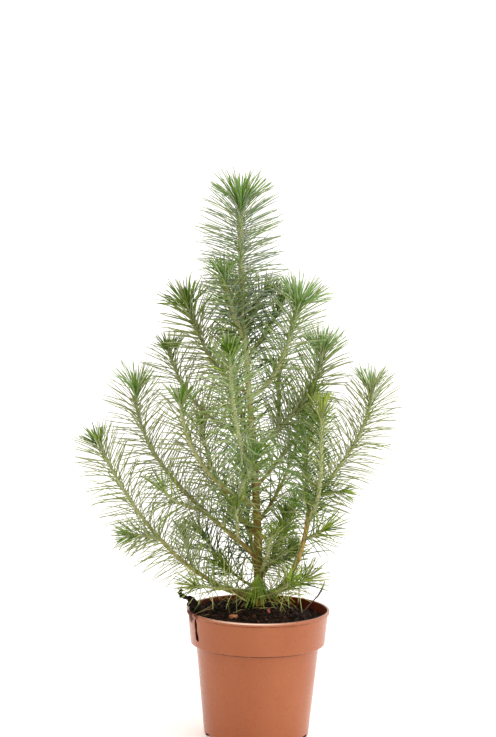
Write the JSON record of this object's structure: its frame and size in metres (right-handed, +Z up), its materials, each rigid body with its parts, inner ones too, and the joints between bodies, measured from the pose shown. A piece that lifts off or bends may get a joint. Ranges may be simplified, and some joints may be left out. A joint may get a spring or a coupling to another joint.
{
  "type": "potted stone pine",
  "caption": "Young stone pine with soft single needles on upswept boughs, in a round terracotta-coloured plastic nursery pot.",
  "frame": {"origin": "centre of the pot's flat underside", "axes": "+Z up along the pot's axis, +X to the right and -Y towards the viewer of the plant's front"},
  "size_m": [0.2868, 0.2075, 0.5148],
  "materials": {
    "pot": "thin moulded plastic, satin, terracotta colour",
    "peat": "dark moist peat, crumbly",
    "bark": "young bark, orange-brown below and green above",
    "needles": "fresh blue-green needles on green shoots"
  },
  "bodies": {
    "root": {"bough_back_high": "bark", "bough_back_left": "bark", "bough_back_low": "bark", "bough_back_right": "bark", "bough_front_high": "bark", "bough_left_back": "bark", "bough_left_foot": "bark", "bough_left_high": "bark", "bough_left_inner": "bark", "bough_left_low": "bark", "bough_left_mid": "bark", "bough_left_top": "bark", "bough_right_high": "bark", "bough_right_inner": "bark", "bough_right_low": "bark", "bough_right_mid": "bark", "needles_back_high": "needles", "needles_back_left": "needles", "needles_back_low": "needles", "needles_back_right": "needles", "needles_back_top": "needles", "needles_collar_low": "needles", "needles_collar_mid": "needles", "needles_foot_tuft": "needles", "needles_front_high": "needles", "needles_front_mid": "needles", "needles_inner_front": "needles", "needles_inner_right": "needles", "needles_leader": "needles", "needles_left_back": "needles", "needles_left_foot": "needles", "needles_left_high": "needles", "needles_left_inner": "needles", "needles_left_low": "needles", "needles_left_mid": "needles", "needles_left_top": "needles", "needles_mid_spur": "needles", "needles_right_foot": "needles", "needles_right_fork": "needles", "needles_right_high": "needles", "needles_right_inner": "needles", "needles_right_mid": "needles", "needles_right_spur": "needles", "needles_right_thin": "needles", "needles_right_top": "needles", "needles_top_left": "needles", "needles_top_right": "needles", "pot": "pot", "soil": "peat", "trunk": "bark"}
  },
  "joints": []
}
